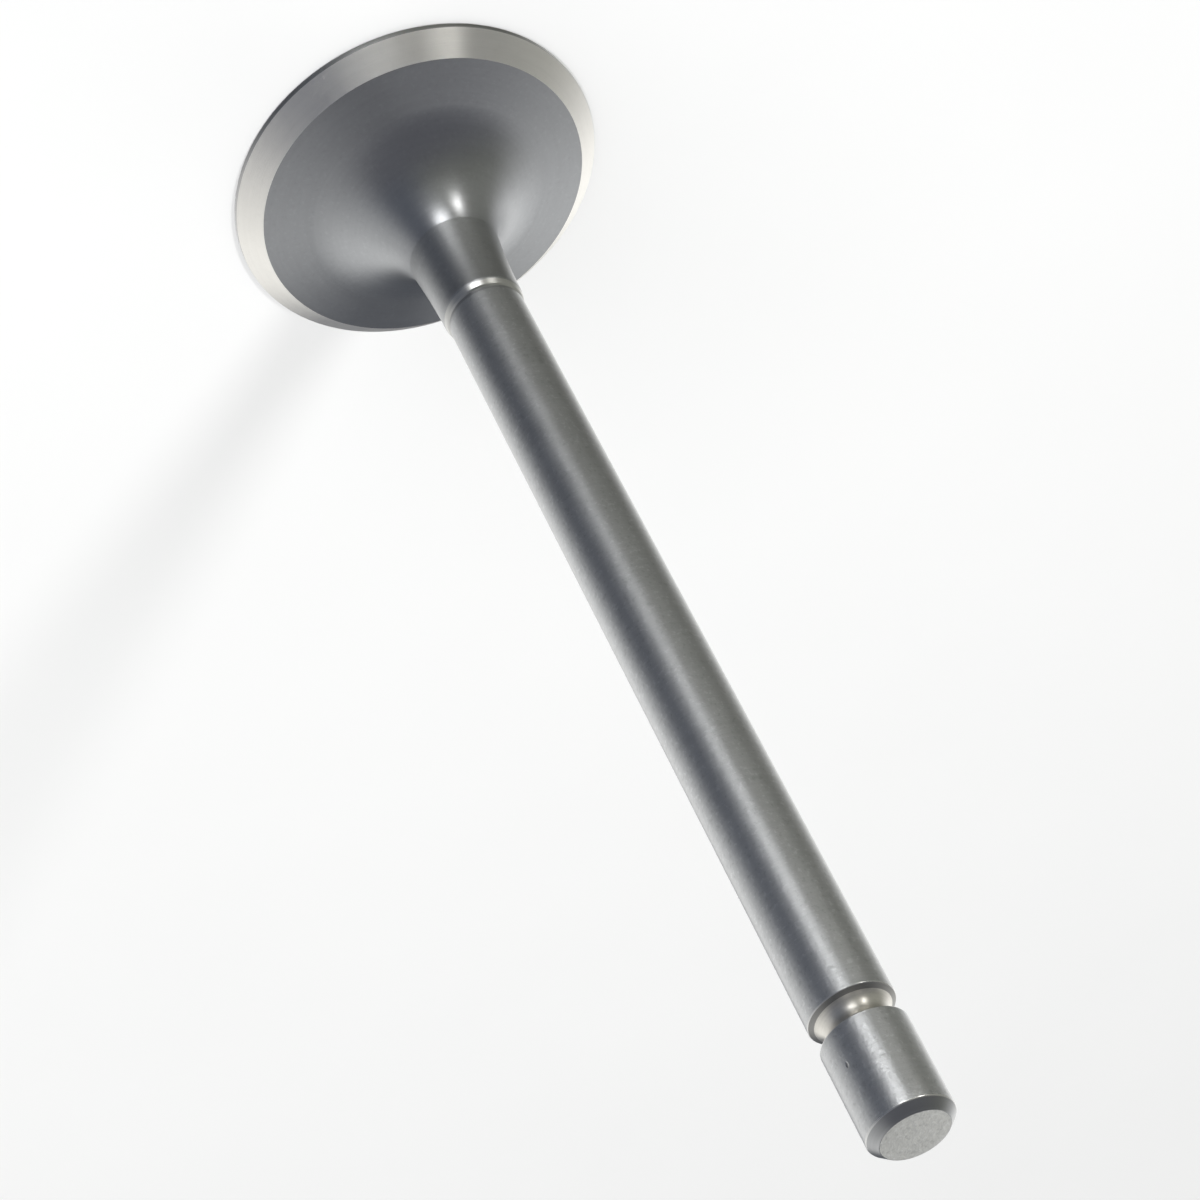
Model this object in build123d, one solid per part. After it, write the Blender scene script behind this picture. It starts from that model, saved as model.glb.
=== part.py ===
from build123d import *
from math import cos, radians, sin, sqrt, tan
import os

# Poppet valve for an engine, turned from one bar. Millimetres.
# It stands on its head: combustion face on z = 0, stem along +Z.

# Head
head_diameter = 34.4
margin_height = 0.6          # cylindrical rim between combustion face and seat
rim_edge_break = 0.1         # chamfer round the combustion face
seat_angle = 45.0            # seat cone, measured from the combustion face
seat_radial_width = 1.95
seat_edge_round = 0.05       # edge break on both sides of the seat cone

# Back of the head: shallow cone that runs into the fillet
back_angle = 15.0            # cone, measured from the combustion face
fillet_end_diameter = 8.40   # where the fillet's turning ends
fillet_end_height = 11.0
fillet_end_slope = 12.0      # last tangent, measured from the axis

# Neck: slim hollow taper between the fillet and the ground stem, then a short
# cone, a shoulder and a shallow grinding relief where the stem begins
neck_top_diameter = 7.48
neck_top_height = 18.95
neck_hollow = 0.097          # how far the neck bows in from a straight taper
cone_top_diameter = 7.18
cone_top_height = 19.6
relief_diameter = 6.91
relief_height = 19.76
stem_start = 20.12

# Stem and tip
stem_diameter = 7.0
overall_length = 111.4
groove_start = 100.2         # head-side edge of the keeper groove
groove_width = 2.3
groove_depth = 0.95
groove_wall_angle = 60.0     # steepest tilt of its sides, from the stem's surface
groove_edge_round = 0.12
tip_chamfer_radial = 0.72
tip_chamfer_axial = 0.75
tip_shoulder_round = 0.2     # where the stem meets the chamfer
tip_edge_round = 0.08        # where the chamfer meets the end face

stem_r = stem_diameter / 2
head_r = head_diameter / 2
fillet_end_r = fillet_end_diameter / 2
neck_top_r = neck_top_diameter / 2
cone_top_r = cone_top_diameter / 2
relief_r = relief_diameter / 2

# Seat cone
seat_in_r = head_r - seat_radial_width
seat_in_z = margin_height + seat_radial_width * tan(radians(seat_angle))

# Fillet arc, tangent to the back cone and to the given slope at its upper end.
# The two tangent lines meet in a corner; the arc's tangent length is the
# distance from that corner to the fillet's upper end.
ts = tan(radians(back_angle))
te = tan(radians(fillet_end_slope))
# back cone:   z = seat_in_z + (seat_in_r - r) * ts
# end tangent: r = fillet_end_r + (fillet_end_height - z) * te
corner_z = (seat_in_z + (seat_in_r - fillet_end_r - fillet_end_height * te) * ts) / (1 - te * ts)
corner_r = fillet_end_r + (fillet_end_height - corner_z) * te
tangent_len = sqrt((fillet_end_r - corner_r) ** 2 + (fillet_end_height - corner_z) ** 2)
fillet_start_r = corner_r + tangent_len * cos(radians(back_angle))
fillet_start_z = corner_z - tangent_len * sin(radians(back_angle))

# Neck's hollow: the arc's middle lies neck_hollow inside the straight line
neck_len = sqrt((fillet_end_r - neck_top_r) ** 2 + (neck_top_height - fillet_end_height) ** 2)
neck_mid = (
    (fillet_end_r + neck_top_r) / 2 - neck_hollow * (neck_top_height - fillet_end_height) / neck_len,
    (fillet_end_height + neck_top_height) / 2 - neck_hollow * (fillet_end_r - neck_top_r) / neck_len,
)

# Keeper groove: round bottom between two straight sides that touch it
groove_mid = groove_start + groove_width / 2
groove_end = groove_start + groove_width
gw = radians(groove_wall_angle)
# R (1 - cos gw) + h = depth and R sin gw + h / tan gw = half width
groove_r = (groove_width / 2 - groove_depth / tan(gw)) / (sin(gw) - (1 - cos(gw)) / tan(gw))
groove_side_r = stem_r - groove_depth + groove_r * (1 - cos(gw))
groove_side_z = groove_r * sin(gw)

with BuildPart() as valve:
    with BuildSketch(Plane.XZ) as section:
        with BuildLine():
            Polyline(
                (0, overall_length),
                (0, 0),
                (head_r - rim_edge_break, 0),
                (head_r, rim_edge_break),
                (head_r, margin_height),
                (seat_in_r, seat_in_z),
                (fillet_start_r, fillet_start_z),
            )
            TangentArc(
                (fillet_start_r, fillet_start_z),
                (fillet_end_r, fillet_end_height),
                tangent=(-cos(radians(back_angle)), sin(radians(back_angle))),
            )
            ThreePointArc(
                (fillet_end_r, fillet_end_height),
                neck_mid,
                (neck_top_r, neck_top_height),
            )
            Polyline(
                (neck_top_r, neck_top_height),
                (cone_top_r, cone_top_height),
                (relief_r, relief_height),
                (stem_r, stem_start),
                (stem_r, groove_start),
                (groove_side_r, groove_mid - groove_side_z),
            )
            ThreePointArc(
                (groove_side_r, groove_mid - groove_side_z),
                (stem_r - groove_depth, groove_mid),
                (groove_side_r, groove_mid + groove_side_z),
            )
            Polyline(
                (groove_side_r, groove_mid + groove_side_z),
                (stem_r, groove_end),
                (stem_r, overall_length - tip_chamfer_axial),
                (stem_r - tip_chamfer_radial, overall_length),
                (0, overall_length),
            )
        make_face()

        def corners(*points):
            return [
                v for v in section.vertices() for r, z in points
                if abs(v.X - r) + abs(v.Y - z) < 1e-4
            ]

        fillet(corners((stem_r, groove_start), (stem_r, groove_end)), groove_edge_round)
        fillet(corners((stem_r, overall_length - tip_chamfer_axial)), tip_shoulder_round)
        fillet(corners((stem_r - tip_chamfer_radial, overall_length)), tip_edge_round)
        fillet(corners((head_r, margin_height), (seat_in_r, seat_in_z)), seat_edge_round)
    revolve(axis=Axis.Z)

solid = valve.part.solids()[0]
solid.label = "valve"

os.makedirs("parts", exist_ok=True)
export_step(solid, "parts/valve.step")

box = solid.bounding_box()
print("fillet start r", round(fillet_start_r, 3), "z", round(fillet_start_z, 3))
print("box", box.min, box.max)
print("volume mm3", round(solid.volume, 1), "valid", solid.is_valid)
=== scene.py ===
import math

import bpy
from mathutils import Matrix, Vector


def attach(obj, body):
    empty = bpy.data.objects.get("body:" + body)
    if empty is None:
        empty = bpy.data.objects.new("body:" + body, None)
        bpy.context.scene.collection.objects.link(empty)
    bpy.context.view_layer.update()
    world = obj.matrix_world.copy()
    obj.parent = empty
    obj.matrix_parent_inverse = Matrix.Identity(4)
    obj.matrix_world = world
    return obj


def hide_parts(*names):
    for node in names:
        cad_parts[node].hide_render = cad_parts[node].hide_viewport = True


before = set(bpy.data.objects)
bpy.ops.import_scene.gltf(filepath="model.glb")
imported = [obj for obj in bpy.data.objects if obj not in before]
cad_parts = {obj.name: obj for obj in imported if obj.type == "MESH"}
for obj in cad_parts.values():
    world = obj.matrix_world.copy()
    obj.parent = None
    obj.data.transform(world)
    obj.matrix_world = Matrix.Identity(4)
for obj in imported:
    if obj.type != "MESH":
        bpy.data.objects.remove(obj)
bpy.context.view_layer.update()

MM = 0.001

# ---------------------------------------------------------------------------
# The valve's turned outline, radius and height in millimetres, as in the CAD.
# Every zone is a list of (r, z, normal_r, normal_z) rings, so that the normals
# are those of the true cones, cylinders and arcs.
# ---------------------------------------------------------------------------
HEAD_R = 17.2
MARGIN = 0.6
SEAT_W = 1.95
BACK = math.radians(15.0)
FIL_R, FIL_Z = 4.20, 11.0
FIL_END = math.radians(12.0)
NECK_R, NECK_Z = 3.74, 18.95
NECK_HOLLOW = 0.097
CONE_R, CONE_Z = 3.59, 19.6
RELIEF_R, RELIEF_Z = 3.455, 19.76
STEM_R = 3.5
STEM_Z0 = 20.12
GRV_Z, GRV_W, GRV_D = 100.2, 2.3, 0.95
GRV_WALL = math.radians(60.0)
LENGTH = 111.4
CH_R, CH_Z = 0.72, 0.75

zones = []          # (material name, rings)


def line(a, b, n=2):
    """Rings along a straight stretch of the outline, going from the combustion face to the tip."""
    dr, dz = b[0] - a[0], b[1] - a[1]
    length = math.hypot(dr, dz)
    nr, nz = dz / length, -dr / length
    return [(a[0] + dr * i / (n - 1), a[1] + dz * i / (n - 1), nr, nz) for i in range(n)]


def arc(c, radius, a0, a1, n, inward):
    """Rings on an arc about c from angle a0 to a1. inward: the surface faces the arc's centre."""
    out = []
    s = -1.0 if inward else 1.0
    for i in range(n):
        a = a0 + (a1 - a0) * i / (n - 1)
        out.append((c[0] + radius * math.cos(a), c[1] + radius * math.sin(a), s * math.cos(a), s * math.sin(a)))
    return out


def corner(p, a, b, radius, n=5):
    """Rounds the convex corner p between the stretches a->p and p->b. Returns (start, rings, end)."""
    u = Vector((a[0] - p[0], a[1] - p[1])).normalized()
    v = Vector((b[0] - p[0], b[1] - p[1])).normalized()
    half = u.angle(v) / 2
    d = radius / math.tan(half)
    s, e = Vector(p) + u * d, Vector(p) + v * d
    c = Vector(p) + (u + v).normalized() * (radius / math.sin(half))
    a0 = math.atan2(s.y - c.y, s.x - c.x)
    a1 = math.atan2(e.y - c.y, e.x - c.x)
    while a1 - a0 > math.pi:
        a1 -= 2 * math.pi
    while a0 - a1 > math.pi:
        a1 += 2 * math.pi
    return (s.x, s.y), arc((c.x, c.y), radius, a0, a1, n, False), (e.x, e.y)


seat_in = (HEAD_R - SEAT_W, MARGIN + SEAT_W)
ts, te = math.tan(BACK), math.tan(FIL_END)
cz = (seat_in[1] + (seat_in[0] - FIL_R - FIL_Z * te) * ts) / (1 - te * ts)
cr = FIL_R + (FIL_Z - cz) * te
tl = math.hypot(FIL_R - cr, FIL_Z - cz)
fil_start = (cr + tl * math.cos(BACK), cz - tl * math.sin(BACK))
# fillet arc: tangent to the back cone, so its centre is on the cone's normal
nb = (math.sin(BACK), math.cos(BACK))
w = (fil_start[0] - FIL_R, fil_start[1] - FIL_Z)
fil_rad = -(w[0] ** 2 + w[1] ** 2) / (2 * (w[0] * nb[0] + w[1] * nb[1]))
fil_c = (fil_start[0] + fil_rad * nb[0], fil_start[1] + fil_rad * nb[1])
fa0 = math.atan2(fil_start[1] - fil_c[1], fil_start[0] - fil_c[0])
fa1 = math.atan2(FIL_Z - fil_c[1], FIL_R - fil_c[0]) - 2 * math.pi
while fa1 < fa0 - math.pi:
    fa1 += 2 * math.pi

zones.append(("combustion_face", line((0.0001, 0), (HEAD_R - 0.1, 0), 24)))
zones.append(("margin", line((HEAD_R - 0.1, 0), (HEAD_R, 0.1))))
s1, k1, e1 = corner((HEAD_R, MARGIN), (HEAD_R, 0), seat_in, 0.05)
zones.append(("margin", line((HEAD_R, 0.1), s1)))
zones.append(("margin", k1))
s2, k2, e2 = corner(seat_in, (HEAD_R, MARGIN), fil_start, 0.05)
zones.append(("seat", line(e1, s2, 8)))
zones.append(("seat", k2))
zones.append(("head_back", line(e2, fil_start, 8)))
zones.append(("head_back", arc(fil_c, fil_rad, fa0, fa1, 56, True)))
# hollow neck: an arc whose middle lies NECK_HOLLOW inside the straight line
nl = math.hypot(FIL_R - NECK_R, NECK_Z - FIL_Z)
n_rad = (nl ** 2 / 4 + NECK_HOLLOW ** 2) / (2 * NECK_HOLLOW)
n_out = ((NECK_Z - FIL_Z) / nl, (FIL_R - NECK_R) / nl)
n_c = ((FIL_R + NECK_R) / 2 + n_out[0] * (n_rad - NECK_HOLLOW), (FIL_Z + NECK_Z) / 2 + n_out[1] * (n_rad - NECK_HOLLOW))
na0 = math.atan2(FIL_Z - n_c[1], FIL_R - n_c[0])
na1 = math.atan2(NECK_Z - n_c[1], NECK_R - n_c[0])
tilt = math.pi + na1                               # the neck's last slope
sn, kn, en = corner((NECK_R, NECK_Z), (NECK_R + 2 * math.tan(tilt), NECK_Z - 2), (CONE_R, CONE_Z), 1.5, 7)
na1 += (na0 - na1) * (NECK_Z - sn[1]) / nl
zones.append(("neck", arc(n_c, n_rad, na0, na1, 16, True)))
zones.append(("neck", kn))
so, ko, eo = corner((CONE_R, CONE_Z), (NECK_R, NECK_Z), (RELIEF_R, RELIEF_Z), 0.12)
zones.append(("neck_step", line(en, so, 4)))
zones.append(("neck_step", ko))
zones.append(("neck_step", line(eo, (RELIEF_R, RELIEF_Z))))
zones.append(("neck_relief", line((RELIEF_R, RELIEF_Z), (STEM_R, STEM_Z0), 3)))
# keeper groove: round bottom between two straight sides, its edges rounded
g_mid = GRV_Z + GRV_W / 2
g_rad = (GRV_W / 2 - GRV_D / math.tan(GRV_WALL)) / (math.sin(GRV_WALL) - (1 - math.cos(GRV_WALL)) / math.tan(GRV_WALL))
g_c = (STEM_R - GRV_D + g_rad, g_mid)
g_side = (g_c[0] - g_rad * math.cos(GRV_WALL), g_rad * math.sin(GRV_WALL))
g_lo, g_hi = (g_side[0], g_mid - g_side[1]), (g_side[0], g_mid + g_side[1])
sl, kl, el_ = corner((STEM_R, GRV_Z), (STEM_R, 90), g_lo, 0.12, 6)
su, ku, eu = corner((STEM_R, GRV_Z + GRV_W), g_hi, (STEM_R, 108), 0.12, 6)
zones.append(("stem", line((STEM_R, STEM_Z0), sl, 60)))
zones.append(("stem_edge", kl))
zones.append(("groove_side", line(el_, g_lo, 3)))
zones.append(("groove", arc(g_c, g_rad, math.pi + GRV_WALL, math.pi - GRV_WALL, 28, True)))
zones.append(("groove_side", line(g_hi, su, 3)))
zones.append(("stem_edge", ku))
c0 = (STEM_R, LENGTH - CH_Z)
c1 = (STEM_R - CH_R, LENGTH)
s3, k3, e3 = corner(c0, (STEM_R, 100), c1, 0.2, 8)
s4, k4, e4 = corner(c1, c0, (0, LENGTH), 0.08)
zones.append(("tip", line(eu, s3, 12)))
zones.append(("stem_edge", k3))
zones.append(("chamfer", line(e3, s4, 3)))
zones.append(("chamfer", k4))
zones.append(("tip_end", line(e4, (0.0001, LENGTH), 12)))

# ---------------------------------------------------------------------------
# One closed mesh, 256 steps round
# ---------------------------------------------------------------------------
STEPS = 256
names = []
for n, _ in zones:
    if n not in names:
        names.append(n)
verts, faces, face_mat, loop_normals = [], [], [], []
cs = [(math.cos(2 * math.pi * i / STEPS), math.sin(2 * math.pi * i / STEPS)) for i in range(STEPS)]


def add_ring(r, z):
    base = len(verts)
    verts.extend([(r * c * MM, r * s * MM, z * MM) for c, s in cs])
    return base


verts.append((0.0, 0.0, 0.0))
prev = None
prev_end = None
for name, rings in zones:
    m = names.index(name)
    if prev is None:
        rings = rings[1:]
        prev = add_ring(rings[0][0], rings[0][1])
        for i in range(STEPS):
            j = (i + 1) % STEPS
            faces.append((0, prev + j, prev + i))
            face_mat.append(m)
            loop_normals.extend([(0, 0, -1)] * 3)
        start = rings[0]
    else:
        start = rings[0]
    last = start
    for k in range(1, len(rings)):
        r, z, nr, nz = rings[k]
        if name == "tip_end" and k == len(rings) - 1:
            top = len(verts)
            verts.append((0.0, 0.0, LENGTH * MM))
            for i in range(STEPS):
                j = (i + 1) % STEPS
                faces.append((prev + i, prev + j, top))
                face_mat.append(m)
                loop_normals.extend([(0, 0, 1)] * 3)
            break
        new = add_ring(r, z)
        for i in range(STEPS):
            j = (i + 1) % STEPS
            faces.append((prev + i, prev + j, new + j, new + i))
            face_mat.append(m)
            for (rr, zz), (c, s) in (
                ((last[2], last[3]), cs[i]), ((last[2], last[3]), cs[j]),
                ((nr, nz), cs[j]), ((nr, nz), cs[i]),
            ):
                loop_normals.append((rr * c, rr * s, zz))
        prev, last = new, rings[k]

mesh = bpy.data.meshes.new("valve_turned")
mesh.from_pydata(verts, [], faces)
mesh.update()
valve = bpy.data.objects.new("valve_turned", mesh)
bpy.context.scene.collection.objects.link(valve)
mesh.polygons.foreach_set("use_smooth", [True] * len(mesh.polygons))
mesh.polygons.foreach_set("material_index", face_mat)
mesh.normals_split_custom_set(loop_normals)
mesh.update()


# ---------------------------------------------------------------------------
# Node helpers
# ---------------------------------------------------------------------------
class Tree:
    def __init__(self, tree):
        self.t = tree
        self.x = 0

    def add(self, kind, **settings):
        n = self.t.nodes.new(kind)
        self.x += 1
        n.location = (self.x * 40, -(self.x % 7) * 120)
        for k, v in settings.items():
            setattr(n, k, v)
        return n

    def put(self, socket, value):
        if isinstance(value, bpy.types.NodeSocket):
            self.t.links.new(value, socket)
        else:
            socket.default_value = value

    def math(self, op, a, b=0.0, c=None, clamp=False):
        n = self.add("ShaderNodeMath", operation=op, use_clamp=clamp)
        self.put(n.inputs[0], a)
        self.put(n.inputs[1], b)
        if c is not None:
            self.put(n.inputs[2], c)
        return n.outputs[0]

    def ramp(self, value, lo, hi, to_lo=0.0, to_hi=1.0, smooth=True):
        n = self.add("ShaderNodeMapRange", interpolation_type="SMOOTHSTEP" if smooth else "LINEAR")
        self.put(n.inputs["Value"], value)
        for name, v in (("From Min", lo), ("From Max", hi), ("To Min", to_lo), ("To Max", to_hi)):
            self.put(n.inputs[name], v)
        return n.outputs["Result"]

    def mix(self, factor, a, b):
        n = self.add("ShaderNodeMix", data_type="RGBA")
        self.put(n.inputs[0], factor)
        self.put(n.inputs[6], a)
        self.put(n.inputs[7], b)
        return n.outputs[2]

    def add_colors(self, a, b):
        n = self.add("ShaderNodeMix", data_type="RGBA", blend_type="ADD")
        n.inputs[0].default_value = 1.0
        self.put(n.inputs[6], a)
        self.put(n.inputs[7], b)
        return n.outputs[2]

    def scale_color(self, color, by):
        n = self.add("ShaderNodeVectorMath", operation="SCALE")
        self.put(n.inputs[0], color)
        self.put(n.inputs["Scale"], by)
        return n.outputs[0]

    def noise(self, vector, scale, detail=2.0, rough=0.5):
        n = self.add("ShaderNodeTexNoise")
        self.put(n.inputs["Vector"], vector)
        n.inputs["Scale"].default_value = scale
        n.inputs["Detail"].default_value = detail
        n.inputs["Roughness"].default_value = rough
        return n.outputs["Fac"]


def metal(name, base, rough, aniso=0.0, lines=0.0, line_scale=6.0, mottle=0.05, mottle_scale=300.0,
          tone=0.06, rough_var=0.04, bump=0.02, fine_scale=900.0, speck=0.0, nick_and_shade=None):
    """A turned or ground steel finish: circumferential machining lines, soft mottling, uneven gloss, fine specks."""
    m = bpy.data.materials.new(name)
    m.use_nodes = True
    t = Tree(m.node_tree)
    m.node_tree.nodes.clear()
    out = t.add("ShaderNodeOutputMaterial")
    bsdf = t.add("ShaderNodeBsdfPrincipled")
    t.t.links.new(bsdf.outputs[0], out.inputs[0])
    bsdf.inputs["Metallic"].default_value = 1.0
    co = t.add("ShaderNodeTexCoord").outputs["Object"]
    sep = t.add("ShaderNodeSeparateXYZ")
    t.put(sep.inputs[0], co)
    x, y, z = sep.outputs
    r = t.math("SQRT", t.math("ADD", t.math("MULTIPLY", x, x), t.math("MULTIPLY", y, y)))
    along = t.math("SUBTRACT", z, r)                       # runs along the outline
    comb = t.add("ShaderNodeCombineXYZ")
    t.put(comb.inputs[0], t.math("MULTIPLY", x, 0.12))
    t.put(comb.inputs[1], t.math("MULTIPLY", y, 0.12))
    t.put(comb.inputs[2], t.math("MULTIPLY", along, line_scale))
    fine = t.noise(comb.outputs[0], fine_scale, 3.0, 0.65)  # machining lines
    coarse = t.noise(comb.outputs[0], 160.0, 2.0, 0.5)     # broader bands
    cloud = t.noise(co, mottle_scale, 3.0, 0.55)
    grain = t.noise(co, 6000.0, 2.0, 0.6)
    # colour
    dark = tuple(c * (1 - tone) for c in base) + (1.0,)
    light = tuple(min(1.0, c * (1 + tone)) for c in base) + (1.0,)
    f = t.math("ADD", t.math("MULTIPLY", fine, 0.45), t.math("ADD", t.math("MULTIPLY", coarse, 0.25), t.math("MULTIPLY", cloud, 0.3)))
    color = t.mix(t.ramp(f, 0.35, 0.65), dark, light)
    specks = t.noise(co, 2400.0, 2.0, 0.7)
    if speck:
        color = t.mix(t.math("MULTIPLY", t.ramp(specks, 0.56, 0.70), speck), color, tuple(min(1.0, c * 1.5) for c in base) + (1.0,))
        color = t.mix(t.math("MULTIPLY", t.ramp(specks, 0.42, 0.30), speck), color, tuple(c * 0.6 for c in base) + (1.0,))
    dent_and_shade = None
    if nick_and_shade:
        # a small dent, stretched along the stem, shaped by the bump, with painted shade darkening its middle
        off = t.add("ShaderNodeVectorMath", operation="SUBTRACT")
        t.put(off.inputs[0], co)
        off.inputs[1].default_value = nick_and_shade[:3]
        squeeze = t.add("ShaderNodeVectorMath", operation="MULTIPLY")
        t.put(squeeze.inputs[0], off.outputs[0])
        squeeze.inputs[1].default_value = (1 / nick_and_shade[3], 1 / nick_and_shade[3], 1 / nick_and_shade[4])
        far = t.add("ShaderNodeVectorMath", operation="LENGTH")
        t.put(far.inputs[0], squeeze.outputs[0])
        dent_and_shade = t.ramp(far.outputs["Value"], 1.0, 0.35)
        color = t.mix(t.math("MULTIPLY", dent_and_shade, 0.6), color, tuple(c * 0.35 for c in base) + (1.0,))
    t.put(bsdf.inputs["Base Color"], color)
    # roughness
    rr = t.math("ADD", rough - rough_var, t.math("MULTIPLY", t.math("ADD", t.math("MULTIPLY", fine, 1.0), cloud), rough_var))
    t.put(bsdf.inputs["Roughness"], rr)
    bsdf.inputs["Anisotropic"].default_value = aniso
    bsdf.inputs["Anisotropic Rotation"].default_value = 0.25
    if aniso:
        tan = t.add("ShaderNodeTangent", direction_type="RADIAL", axis="Z")
        t.put(bsdf.inputs["Tangent"], tan.outputs[0])
    # bump
    h = t.math("ADD", t.math("MULTIPLY", fine, lines), t.math("ADD", t.math("MULTIPLY", grain, bump), t.math("MULTIPLY", cloud, mottle)))
    if speck:
        h = t.math("ADD", h, t.math("MULTIPLY", specks, speck * 5.0))
    if dent_and_shade is not None:
        h = t.math("SUBTRACT", h, t.math("MULTIPLY", dent_and_shade, 4.0))
    b = t.add("ShaderNodeBump")
    b.inputs["Strength"].default_value = 1.0
    b.inputs["Distance"].default_value = 0.00001
    t.put(b.inputs["Height"], h)
    t.put(bsdf.inputs["Normal"], b.outputs[0])
    return m


materials = {
    "combustion_face": metal("combustion_face_turned", (0.42, 0.42, 0.43), 0.36, 0.5, lines=0.5, line_scale=4.0),
    "margin": metal("margin_turned", (0.47, 0.47, 0.475), 0.35, 0.4, lines=0.4, speck=0.1),
    "seat": metal("seat_ground", (0.95, 0.932, 0.90), 0.40, 1.0, lines=2.5, tone=0.03, fine_scale=2600.0, speck=0.05),
    "head_back": metal("head_back_satin", (0.352, 0.359, 0.375), 0.335, 0.1, lines=0.08, line_scale=3.0, tone=0.03, speck=0.12),
    "neck": metal("neck_satin", (0.372, 0.378, 0.388), 0.355, 0.1, lines=0.15, tone=0.04, speck=0.2),
    "neck_step": metal("neck_step_turned", (0.50, 0.50, 0.49), 0.30, 0.3, lines=0.3),
    "neck_relief": metal("neck_relief_turned", (0.40, 0.405, 0.415), 0.37, 0.1, lines=0.3),
    "stem": metal("stem_ground", (0.475, 0.482, 0.494), 0.375, 0.1, lines=0.45, tone=0.05, speck=0.34),
    # rounded edges: ground steel with a lighter base colour than the stem, a painted highlight along the edges
    "stem_edge": metal("edge_ground_painted_highlight", (0.60, 0.60, 0.60), 0.28, 0.2, lines=0.2),
    # groove side walls: a darker base colour than the stem's steel, painted shade standing in for the shadow and dark
    # reflections in the groove
    "groove_side": metal("groove_side_painted_shade", (0.30, 0.297, 0.291), 0.42, 0.3, lines=0.4, tone=0.1),
    "groove": metal("groove_turned", (0.70, 0.68, 0.64), 0.39, 0.7, lines=0.6, speck=0.1),
    "tip": metal("tip_ground", (0.475, 0.482, 0.494), 0.365, 0.1, lines=0.45, tone=0.05, speck=0.36,
                 nick_and_shade=(2.02 * MM, -2.86 * MM, 105.5 * MM, 0.17 * MM, 0.30 * MM)),
    # chamfer: turned steel, with a darker base colour than the tip as painted shade for the darker reflection it
    # catches
    "chamfer": metal("chamfer_turned_painted_shade", (0.34, 0.345, 0.355), 0.34, 0.3, lines=0.4),
    "tip_end": metal("tip_end_ground", (0.72, 0.72, 0.70), 0.36, 0.2, lines=0.15, line_scale=3.0, tone=0.07, mottle_scale=500.0, speck=0.35),
}
for n in names:
    mesh.materials.append(materials[n])

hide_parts("valve")
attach(valve, "root")

# ---------------------------------------------------------------------------
# Floor
# ---------------------------------------------------------------------------
S = 3.0
fm = bpy.data.meshes.new("floor")
fm.from_pydata([(-S, -S, 0), (S, -S, 0), (S, S, 0), (-S, S, 0)], [], [(0, 1, 2, 3)])
floor = bpy.data.objects.new("floor", fm)
bpy.context.scene.collection.objects.link(floor)
floor.location.z = -0.00002
fmat = bpy.data.materials.new("floor_paper")
fmat.use_nodes = True
ft = Tree(fmat.node_tree)
fb = fmat.node_tree.nodes["Principled BSDF"]
fb.inputs["Roughness"].default_value = 0.9
fb.inputs["Specular IOR Level"].default_value = 0.0
fco = ft.add("ShaderNodeTexCoord").outputs["Object"]
fn = ft.noise(fco, 40.0, 3.0, 0.5)
# away from the valve the paper fades into the pale backdrop, as a studio sweep does
flen = ft.add("ShaderNodeVectorMath", operation="LENGTH")
ft.put(flen.inputs[0], fco)
sweep = ft.ramp(flen.outputs["Value"], 0.16, 0.50)
paper = ft.mix(fn, (0.905, 0.905, 0.898, 1), (0.925, 0.925, 0.918, 1))
ft.put(fb.inputs["Base Color"], ft.mix(sweep, paper, (0.0, 0.0, 0.0, 1)))
fb.inputs["Emission Color"].default_value = (0.93, 0.93, 0.925, 1)
ft.put(fb.inputs["Emission Strength"], sweep)
fm.materials.append(fmat)
floor.visible_glossy = False
floor.visible_shadow = False

# ---------------------------------------------------------------------------
# World: a pale studio, darker towards the room, with two lamps
# ---------------------------------------------------------------------------
world = bpy.data.worlds.new("studio")
bpy.context.scene.world = world
world.use_nodes = True
world.node_tree.nodes.clear()
t = Tree(world.node_tree)
wout = t.add("ShaderNodeOutputWorld")
bg = t.add("ShaderNodeBackground")
t.t.links.new(bg.outputs[0], wout.inputs[0])
d = t.add("ShaderNodeTexCoord").outputs["Generated"]
sep = t.add("ShaderNodeSeparateXYZ")
t.put(sep.inputs[0], d)
x, y, z = sep.outputs
az = t.math("MULTIPLY", t.math("ARCTAN2", x, t.math("MULTIPLY", y, -1.0)), 57.29578)
el = t.math("MULTIPLY", t.math("ARCSINE", z), 57.29578)


def lamp(azimuth, elevation, size_az, size_el, edge):
    """1 inside a soft-edged patch of sky, 0 outside."""
    da = t.math("DIVIDE", t.math("ABSOLUTE", t.math("SUBTRACT", az, azimuth)), size_az)
    de = t.math("DIVIDE", t.math("ABSOLUTE", t.math("SUBTRACT", el, elevation)), size_el)
    dist = t.math("SQRT", t.math("ADD", t.math("MULTIPLY", da, da), t.math("MULTIPLY", de, de)))
    return t.ramp(dist, 1.0 + edge, 1.0 - edge)


room_cool = (0.180, 0.196, 0.232, 1)      # the unlit side of the room, left of the camera
room_warm = (0.265, 0.270, 0.238, 1)      # and right of it
ceiling = (0.198, 0.201, 0.223, 1)
white = (1.0, 1.0, 0.975)
room = t.mix(t.ramp(az, -30, 25), room_warm, room_cool)
room = t.mix(t.ramp(el, 20, 55), room, ceiling)
room = t.scale_color(room, t.ramp(el, -50, -27, 0.36, 1.0))
room = t.add_colors(room, t.scale_color((1.0, 1.0, 0.93), t.math("MULTIPLY", lamp(-95, -6, 30, 24, 0.6), 0.12)))
room = t.add_colors(room, t.scale_color((1.0, 1.0, 0.96), t.math("MULTIPLY", lamp(-25, 1, 40, 17, 0.6), 0.215)))
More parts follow.
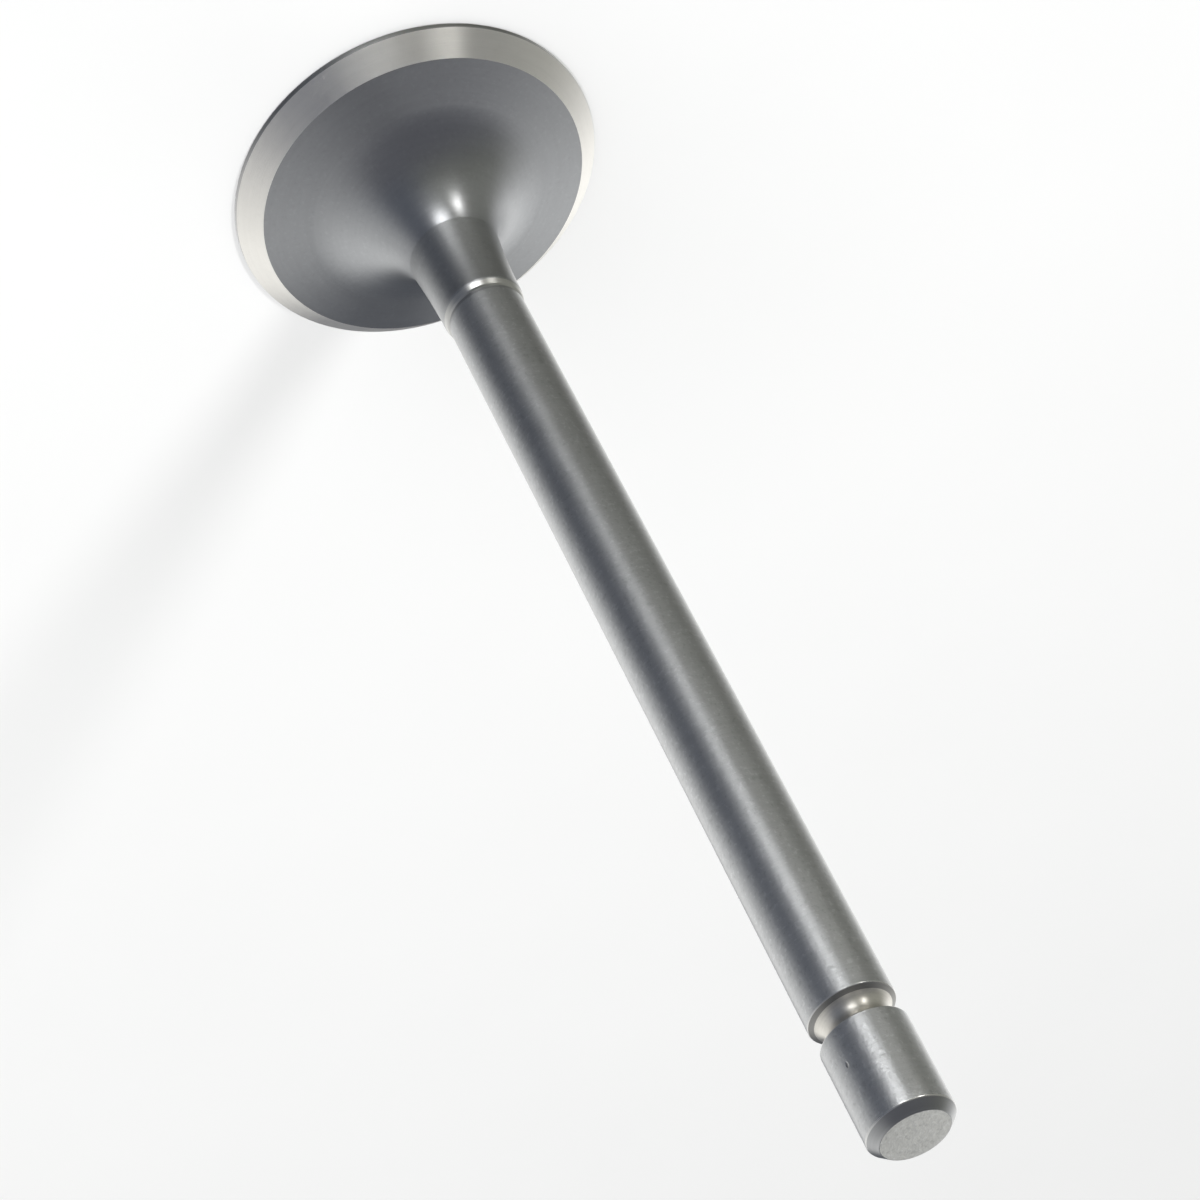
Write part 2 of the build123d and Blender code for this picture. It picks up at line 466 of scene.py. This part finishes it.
# two bright walls behind the valve, brighter near the paper they stand on, and a dark corner between them
low = t.ramp(el, -25, -38)
high = t.ramp(el, 90, 62, 0.55, 1.0)
az_r = t.math("ADD", az, t.ramp(el, 50, 85, 0.0, 12.0))
wall_r = t.math("MULTIPLY", t.ramp(az_r, -107, -161), t.ramp(el, 90, -20, 0.48, 1.60))
edge = t.math("MULTIPLY", t.math("MULTIPLY", t.ramp(az, -164, -180), 0.50), t.math("SUBTRACT", 1.0, low))
wall_r = t.math("MULTIPLY", t.math("MULTIPLY", wall_r, high), t.math("SUBTRACT", 1.0, edge))
wall_l = t.math("ADD", t.math("MULTIPLY", t.ramp(az, 47, 97), 0.82), t.math("MULTIPLY", t.ramp(az, 92, 130), 0.42))
wall_l = t.math("MULTIPLY", t.math("MULTIPLY", wall_l, high), t.ramp(el, 97, 16, 0.12, 1.0))
foot = t.math("MULTIPLY", t.math("MULTIPLY", t.ramp(az, 60, 130), 1.40), t.ramp(el, -50, -40, 0.62, 1.0))
wall_l = t.math("ADD", t.math("MULTIPLY", wall_l, t.math("SUBTRACT", 1.0, low)), t.math("MULTIPLY", foot, low))
wall = t.math("MAXIMUM", wall_r, wall_l)
az_gap = t.math("SUBTRACT", az, t.math("MULTIPLY", low, 6.0))
gap = t.math("MULTIPLY", t.ramp(az_gap, 140, 160), t.math("MULTIPLY", t.ramp(el, -43, -34), t.ramp(el, 46, 36)))
gap_high = t.math("MULTIPLY", t.ramp(az, 155, 164), t.math("MULTIPLY", t.ramp(el, -43, -34), t.ramp(el, 85, 70)))
gap = t.math("MULTIPLY", t.math("MAXIMUM", gap, gap_high), t.ramp(az, 180, 178))
wall = t.math("MULTIPLY", wall, t.math("SUBTRACT", 1.0, gap))
room = t.scale_color(room, t.math("SUBTRACT", 1.0, t.math("MULTIPLY", gap, 0.34)))
color = t.add_colors(t.scale_color(room, t.math("SUBTRACT", 1.0, t.math("MINIMUM", wall, 1.0))), t.scale_color(white, wall))
color = t.add_colors(color, t.scale_color((1.0, 0.985, 0.94), t.math("MULTIPLY", lamp(-50, -9.5, 6.5, 5, 0.5), 13.5)))
color = t.add_colors(color, t.scale_color((1.0, 1.0, 0.985), t.math("MULTIPLY", lamp(-9.5, -19.5, 14, 5, 0.5), 9.8)))
color = t.mix(t.ramp(el, -70, -80), color, (0.85, 0.85, 0.83, 1))          # the paper underneath
lp = t.add("ShaderNodeLightPath").outputs["Is Camera Ray"]
color = t.mix(lp, color, (0.93, 0.93, 0.925, 1))
t.put(bg.inputs["Color"], color)
bg.inputs["Strength"].default_value = 1.0

# ---------------------------------------------------------------------------
# Soft light on the floor
# ---------------------------------------------------------------------------


def softbox(name, pos, target, size, energy, color=(1, 1, 1)):
    data = bpy.data.lights.new(name, "AREA")
    data.shape = "DISK"
    data.size = size
    data.energy = energy
    data.color = color
    o = bpy.data.objects.new(name, data)
    bpy.context.scene.collection.objects.link(o)
    o.location = pos
    o.rotation_mode = "QUATERNION"
    o.rotation_quaternion = (Vector(target) - Vector(pos)).to_track_quat("-Z", "Y")
    o.visible_glossy = False
    o.visible_camera = False
    return o


softbox("soft_top", (0.1, -0.2, 0.9), (0, 0, 0), 0.5, 4.65)
softbox("soft_side", (-0.5, -0.35, 0.7), (0, 0, 0), 0.16, 2.0)

# ---------------------------------------------------------------------------
# Camera, looking down the stem from the tip's side and rolled as in the picture
# ---------------------------------------------------------------------------
cam_data = bpy.data.cameras.new("camera")
cam = bpy.data.objects.new("camera", cam_data)
bpy.context.scene.collection.objects.link(cam)
cam_data.sensor_fit = "HORIZONTAL"
cam_data.sensor_width = 36.0
cam_data.lens = 36.0 * 3450.8 / 1200.0 * 0.965
cam_data.clip_start = 0.01
cam_data.clip_end = 20.0
forward = Vector((0.0, 0.765021, -0.644005)).normalized()
up = Vector((-0.456593, -0.572956, -0.680621)).normalized()
right = forward.cross(up).normalized()
up = right.cross(forward)
rot = Matrix((right, up, -forward)).transposed()
cam.matrix_world = Matrix.Translation(Vector((0.00255096, -0.20621163, 0.22824664))) @ rot.to_4x4()
bpy.context.scene.camera = cam

bpy.context.scene.view_settings.view_transform = "Standard"
bpy.context.scene.view_settings.look = "None"
